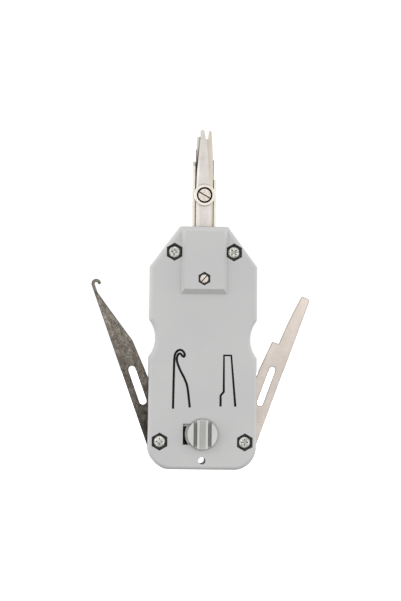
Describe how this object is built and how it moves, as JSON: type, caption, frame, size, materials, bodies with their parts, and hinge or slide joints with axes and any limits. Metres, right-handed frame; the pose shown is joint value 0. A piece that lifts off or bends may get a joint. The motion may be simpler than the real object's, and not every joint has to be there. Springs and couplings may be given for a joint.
{
  "type": "punch down tool",
  "caption": "Hand tool with a light grey two-shell handle, a sprung forked insertion head with a scissor cutter, and a folding hook and removal blade at its sides.",
  "frame": {"origin": "middle of the flat butt face, in the parting plane between the two shells", "axes": "+Z runs along the tool from the butt to the forked tip; -Y is the front with the raised boss and the knob; +X is the side of the removal blade"},
  "size_m": [0.114, 0.0301, 0.177],
  "materials": {
    "shell_plastic": "light grey moulded ABS, fine satin texture",
    "knob_plastic": "light grey moulded acetal",
    "plate_plastic": "light grey moulded acetal",
    "block_plastic": "black moulded acetal",
    "zinc_steel": "bright zinc plated steel",
    "head_steel": "nickel plated pressed steel, satin",
    "cutter_steel": "hardened steel, dark",
    "hook_steel": "brown grey hardened steel, ground",
    "removal_steel": "plain rolled stainless steel",
    "spring_steel": "bright drawn spring wire"
  },
  "bodies": {
    "handle": {"front_shell": "shell_plastic", "rear_shell": "shell_plastic", "shell_screws": "zinc_steel", "shell_nuts": "zinc_steel", "blade_bushes": "zinc_steel", "blade_washers": "zinc_steel", "cam_screw": "zinc_steel", "cam_sleeve": "cutter_steel", "cam_nut": "zinc_steel", "spring_washer": "zinc_steel", "main_spring": "spring_steel"},
    "head": {"head_channel": "head_steel", "fork_plate": "head_steel", "insertion_blade": "head_steel", "head_spacer": "head_steel", "pivot_screw": "zinc_steel", "pivot_nut": "zinc_steel", "slide_block": "block_plastic", "block_rivets": "zinc_steel", "guide_rod": "zinc_steel"},
    "cutter": {"cutter_blade": "cutter_steel"},
    "hook": {"hook_blade": "hook_steel"},
    "removal": {"removal_blade": "removal_steel"},
    "knob": {"release_knob": "knob_plastic", "slide_plate": "plate_plastic", "knob_washer": "zinc_steel", "knob_screw": "zinc_steel"}
  },
  "joints": [
    {"name": "head_press", "type": "slide", "parent": "handle", "child": "head", "axis": [0, 0, -1], "range_m": [0, 0.007], "stiffness_N_per_m": 3000, "springref_m": -0.006, "deforming": ["main_spring"]},
    {"name": "cutter_swing", "type": "hinge", "parent": "head", "child": "cutter", "pos_m": [0, -0.00095, 0.143], "axis": [0, 1, 0], "range_deg": [0, 4.02]},
    {"name": "hook_fold", "type": "hinge", "parent": "handle", "child": "hook", "pos_m": [-0.0222, 0, 0.0144], "axis": [0, -1, 0], "range_deg": [-19.7, 70.3]},
    {"name": "removal_fold", "type": "hinge", "parent": "handle", "child": "removal", "pos_m": [0.0222, 0, 0.0144], "axis": [0, 1, 0], "range_deg": [-19.7, 70.3]},
    {"name": "knob_slide", "type": "slide", "parent": "handle", "child": "knob", "axis": [-1, 0, 0], "range_m": [0, 0.0045]}
  ],
  "couplings": [
    {"joint": "cutter_swing", "follows": "head_press", "rad_per_m": 10}
  ]
}
